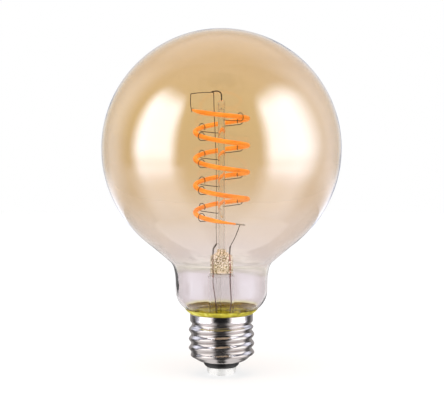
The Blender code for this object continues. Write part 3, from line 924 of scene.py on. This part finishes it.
def build_stem_wires(copper, dull):
    heights = [SEAL_WIRE_LOW_Z + SEAL_WIRE_LENGTH * i / 8 for i in range(9)]
    for side, word in ((-1, "left"), (1, "right")):
        path = [(side * LEAD_X, 0.0, z) for z in heights]
        piece = tube("seal_wire_" + word, path, LEAD_RADIUS, copper)
        stand_in(piece, "seal_wire", "press_wire_" + word)
    for word, (path, radius) in OUTER_LEADS.items():
        piece = tube("outer_lead_" + word, spline(path, 10), radius, dull)
        stand_in(piece, "outer_lead", "lead_out_" + word)


def dress_board(nodes):
    """Finishes for the driver in the cap, whose CAD shapes stay."""
    finishes = {node: make_plain(*look) for node, look in BOARD_FINISHES.items()}
    finishes["driver_chip"] = finishes["bridge_rectifier"]
    for node, material in finishes.items():
        nodes[node].data.materials.clear()
        nodes[node].data.materials.append(material)


# ---------------------------------------------------------------- studio


def bearing(tree, place):
    """The angle about the lamp, from the camera's side and positive to the right."""
    return tree.math("ARCTAN2", place["X"], tree.math("MULTIPLY", place["Y"], -1.0))


def rear_wall(tree, away, elevation):
    """The lit wall behind the lamp, which the rim of the globe reflects."""
    side = tree.turn(away, 95, 122, 0.0, 1.9)
    rear = tree.turn(away, 122, 150, 1.0, 0.35)
    tall = tree.turn(elevation, 20, 75, 1.0, 0.3)
    rise = tree.turn(elevation, 18, 45, 0.0, 1.1)
    fall = tree.turn(elevation, 58, 82, 1.0, 0.3)
    behind = tree.turn(away, 100, 140)
    return tree.math("MAXIMUM", tree.product(side, rear, tall), tree.product(rise, fall, behind))


def table_light(tree, away, elevation):
    """The table as the glass reflects it: dark ahead of the lamp, lit to either side."""
    ahead = tree.turn(elevation, -44, -34, 0.4, 0.02)
    rear = tree.turn(elevation, -28, -14, 0.25, 1.5)
    base = tree.between(tree.turn(away, 85, 120), ahead, rear)
    lit = tree.turn(elevation, -72, -12, 0.4, 5.0)
    beside = tree.product(tree.turn(away, 30, 55), tree.turn(away, 75, 110, 1.0, 0.0))
    return tree.between(beside, base, lit)


def build_world():
    """Three surroundings in one: a pale cyclorama for the eye that is white behind the lamp, a
    lit room behind clear glass, and a darker room for reflections."""
    world = bpy.data.worlds.new("studio")
    bpy.context.scene.world = world
    world.use_nodes = True
    world.node_tree.nodes.clear()
    tree = Tree(world.node_tree)
    direction = tree.add("ShaderNodeTexCoord").outputs["Generated"]
    place = tree.add("ShaderNodeSeparateXYZ", {"Vector": direction}).outputs
    azimuth = bearing(tree, place)
    elevation = tree.math("ARCSINE", place["Z"])
    away = tree.math("ABSOLUTE", azimuth)

    right = tree.product(tree.turn(azimuth, 75, 95), tree.turn(azimuth, 155, 135))
    left = tree.product(tree.turn(azimuth, -95, -112), tree.turn(azimuth, -158, -142))
    backdrop = tree.math("SUBTRACT", 1.0, tree.math("MULTIPLY", right, 0.45))
    backdrop = tree.math("SUBTRACT", backdrop, tree.math("MULTIPLY", left, 0.2))

    around = tree.turn(away, 12, 100, 0.012, 0.25)
    overhead = tree.turn(elevation, 60, 85, 0.0, 0.3)
    above = tree.math("MAXIMUM", around, overhead)
    above = tree.math("MAXIMUM", above, rear_wall(tree, away, elevation))
    table = table_light(tree, away, elevation)
    gloss = tree.between(tree.turn(elevation, -16, -8), table, above)
    tinted = tree.add("ShaderNodeVectorMath", {0: gloss, 1: REFLECTION_TINT}, operation="MULTIPLY")

    path = tree.add("ShaderNodeLightPath").outputs
    mirrored = tree.math("SUBTRACT", path["Is Glossy Ray"], path["Is Transmission Ray"], clamp=True)
    seen = tree.mix(mirrored, backdrop, tinted.outputs["Vector"])
    cyclorama = tree.tones(tree.turn(away, 140, 165), CYCLORAMA_SIDES, (1.0, 1.0, 1.0))
    seen = tree.mix(path["Is Camera Ray"], seen, cyclorama)
    background = tree.add("ShaderNodeBackground", {"Color": seen, "Strength": 1.0})
    tree.add("ShaderNodeOutputWorld", {"Surface": background.outputs[0]})


def from_middle(tree, share, middle, even):
    """Zero over a panel's even part and one at either end, for a share from 0 to 1."""
    start = middle * (1.0 - even[0])
    end = middle + (1.0 - middle) * even[1]
    below = tree.math("DIVIDE", tree.math("SUBTRACT", start, share), start)
    above = tree.math("DIVIDE", tree.math("SUBTRACT", share, end), 1.0 - end)
    return tree.math("MAXIMUM", tree.math("MAXIMUM", below, above), 0.0)


def hide_from(thing, *rays):
    for ray in rays:
        setattr(thing, "visible_" + ray, False)


def grade(tree, sides, heights, even):
    """A panel's brightness, which fades towards its rim as a rounded shape."""
    low, middle, high = heights
    panel = tree.add("ShaderNodeNewGeometry").outputs["Parametric"]
    place = tree.add("ShaderNodeSeparateXYZ", {"Vector": panel}).outputs
    across = from_middle(tree, place["X"], sides[0] / (sides[0] + sides[1]), even[:2])
    upward = from_middle(tree, place["Y"], (middle - low) / (high - low), even[2:])
    squares = tree.math("ADD", tree.math("POWER", across, 2.0), tree.math("POWER", upward, 2.0))
    inside = tree.smooth(tree.math("SQRT", squares), 0.0, 1.0, 1.0, 0.0)
    return tree.math("POWER", inside, SOFTBOX_FALLOFF)


def build_softbox(name, panel, look, receivers):
    """A rounded softbox that lights one set of pieces, placed as the studio values say."""
    azimuth, sides, heights, even = panel
    brightness, colour = look
    light = bpy.data.lights.new(name, "AREA")
    light.shape = "RECTANGLE"
    light.size = (sides[0] + sides[1]) * MM
    light.size_y = (heights[2] - heights[0]) * MM
    light.color = colour
    light.energy = brightness * math.pi * light.size * light.size_y
    light.use_nodes = True
    tree = Tree(light.node_tree)
    emission = light.node_tree.nodes["Emission"]
    tree.put(emission.inputs["Strength"], grade(tree, sides, heights, even))
    thing = bpy.data.objects.new(name, light)
    turn = math.radians(azimuth)
    away = Vector((math.sin(turn), -math.cos(turn), 0.0))
    along = Vector((math.cos(turn), math.sin(turn), 0.0))
    upward = Vector((0.0, 0.0, (heights[0] + heights[2]) / 2))
    centre = away * SOFTBOX_DISTANCE + along * (sides[1] - sides[0]) / 2 + upward
    thing.location = centre * MM
    thing.rotation_euler = (-away).to_track_quat("-Z", "Y").to_euler()
    hide_from(thing, "camera", "diffuse", "transmission")
    thing.light_linking.receiver_collection = receivers
    bpy.context.scene.collection.objects.link(thing)


def build_softboxes():
    """The two softboxes as the glass shows them, and as everything else shows them."""
    glass = bpy.data.collections.new("glass_pieces")
    other = bpy.data.collections.new("other_pieces")
    for thing in bpy.context.scene.objects:
        if thing.type == "MESH":
            (glass if thing.name in GLASS_PIECES else other).objects.link(thing)
    sets = ((GLASS_SOFTBOXES, GLASS_LOOK, glass), (OTHER_SOFTBOXES, OTHER_LOOK, other))
    for panels, look, receivers in sets:
        for name, panel in panels.items():
            build_softbox(name, panel, look, receivers)


def glossy_only(thing):
    """Shown only in reflections."""
    hide_from(thing, "camera", "diffuse", "transmission", "shadow")


def make_flag():
    """Cloth for the cards round the cap: dark ahead, pale on either side, dim behind."""
    material, tree, shader = principled("flag_cloth", Roughness=0.9)
    cloud = tree.noise(6.0, 2.0)
    tree.put(shader.inputs["Base Color"], tree.tones(cloud, (0.02, 0.02, 0.02), (0.03, 0.03, 0.03)))
    away = tree.math("ABSOLUTE", bearing(tree, tree.axes()))
    ahead = tree.turn(away, 12, 32, 0.01, FLAG_LIGHT)
    beside = tree.product(ahead, tree.turn(away, 84, 98, 1.0, 0.08))
    behind = tree.turn(away, 115, 140, 0.0, 0.35)
    tone = tree.tones(cloud, (0.94, 0.92, 0.92), (1.0, 0.98, 0.98))
    glow(tree, shader, tone, tree.math("ADD", beside, behind))
    return material


def build_flags():
    """A card under the cap and a low curved screen behind it, seen only in reflections."""
    material = make_flag()
    glossy_only(disc("studio_low_flag", FLAG_RADIUS, FLAG_LOW_Z, material))
    mesh_data = bmesh.new()
    low, high = [], []
    for i in range(SCREEN_SEGMENTS + 1):
        angle = math.radians(FLAG_START + FLAG_SWEEP * i / SCREEN_SEGMENTS)
        x, y = FLAG_RADIUS * math.sin(angle), -FLAG_RADIUS * math.cos(angle)
        low.append(mesh_data.verts.new((x, y, FLAG_LOW_Z)))
        high.append(mesh_data.verts.new((x, y, FLAG_HIGH_Z)))
    for i in range(SCREEN_SEGMENTS):
        mesh_data.faces.new((low[i], low[i + 1], high[i + 1], high[i]))
    glossy_only(finish_mesh("studio_rear_flag", mesh_data, material, smooth=False))


def build_floor():
    """A pale round floor that dims a little away from the middle."""
    material, tree, shader = principled("pale_floor", Roughness=0.9)
    cloud = tree.noise(6.0, 2.0)
    tree.put(shader.inputs["Base Color"], tree.tones(cloud, (0.19, 0.19, 0.19), (0.21, 0.21, 0.21)))
    aside = tree.math("ABSOLUTE", tree.axes()["X"])
    # Painted light: the floor glows, most in the middle and less to the left and right, like a pool
    # of light
    glow(tree, shader, rgba((1.0, 1.0, 1.0)), tree.smooth(aside, 0.10, 0.40, 0.72, 0.52))
    floor = disc("studio_floor", FLOOR_RADIUS, FLOOR_Z, material)
    if floor.data.polygons[0].normal.z < 0:
        floor.data.flip_normals()
    hide_from(floor, "glossy")


def build_overhead_light():
    light = bpy.data.lights.new("overhead_softbox", "AREA")
    light.shape = "DISK"
    light.size = OVERHEAD_SIZE
    light.energy = OVERHEAD_POWER
    thing = bpy.data.objects.new("overhead_softbox", light)
    thing.location = OVERHEAD_PLACE
    aim = Vector(OVERHEAD_AIM) - thing.location
    thing.rotation_euler = aim.to_track_quat("-Z", "Y").to_euler()
    hide_from(thing, "glossy", "transmission", "camera")
    bpy.context.scene.collection.objects.link(thing)


def build_camera():
    data = bpy.data.cameras.new("photo_camera")
    data.sensor_width = SENSOR_WIDTH
    data.lens = SENSOR_WIDTH * CAMERA_DISTANCE / VIEW_WIDTH
    data.clip_start, data.clip_end = CAMERA_CLIP
    camera = bpy.data.objects.new("photo_camera", data)
    tilt = math.radians(CAMERA_ELEVATION)
    target = Vector(VIEW_CENTRE)
    camera.location = target + Vector((0.0, -math.cos(tilt), math.sin(tilt))) * CAMERA_DISTANCE
    camera.rotation_euler = (math.pi / 2 - tilt, 0.0, 0.0)
    bpy.context.scene.collection.objects.link(camera)
    bpy.context.scene.camera = camera


def set_light_paths():
    scene = bpy.context.scene
    scene.view_settings.view_transform = "Standard"
    scene.cycles.max_bounces = 24
    scene.cycles.transmission_bounces = 24
    scene.cycles.glossy_bounces = 10
    scene.cycles.transparent_max_bounces = 24
    scene.cycles.sample_clamp_indirect = 30.0


def main():
    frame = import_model()
    nodes = frame["nodes"]
    clear = make_clear_glass()
    nickel_wire = make_wire("lead_nickel", (0.05, 0.04, 0.03), (0.16, 0.13, 0.10))
    build_envelope(make_amber_glass())
    build_shell(make_nickel())
    build_cap(make_insulator(), make_contact_metal(), make_cement())
    build_stem(clear, make_press_glass())
    strip = make_plain("carrier_pale", (0.75, 0.72, 0.62), (0.88, 0.86, 0.78), 700.0, 0.5)
    end_metal = make_wire("end_strip_metal", (0.30, 0.27, 0.24), (0.48, 0.45, 0.42), 0.35)
    build_filament(make_phosphor(), strip, end_metal)
    hook_wire = make_wire("hook_molybdenum", (0.035, 0.025, 0.015), (0.11, 0.085, 0.06))
    for number, degrees in enumerate(HOOK_ANGLES, start=1):
        build_hook(number, degrees, hook_wire)
    build_globe_wires(nickel_wire)
    copper = make_wire("seal_copper", (0.28, 0.03, 0.02), (0.50, 0.10, 0.06), 0.35, 0.3)
    dull = make_wire("lead_oxidised", (0.10, 0.05, 0.05), (0.24, 0.14, 0.13), 0.45, 0.5)
    build_stem_wires(copper, dull)
    dress_board(nodes)
    build_world()
    build_floor()
    build_flags()
    build_softboxes()
    build_overhead_light()
    build_camera()
    set_light_paths()


main()
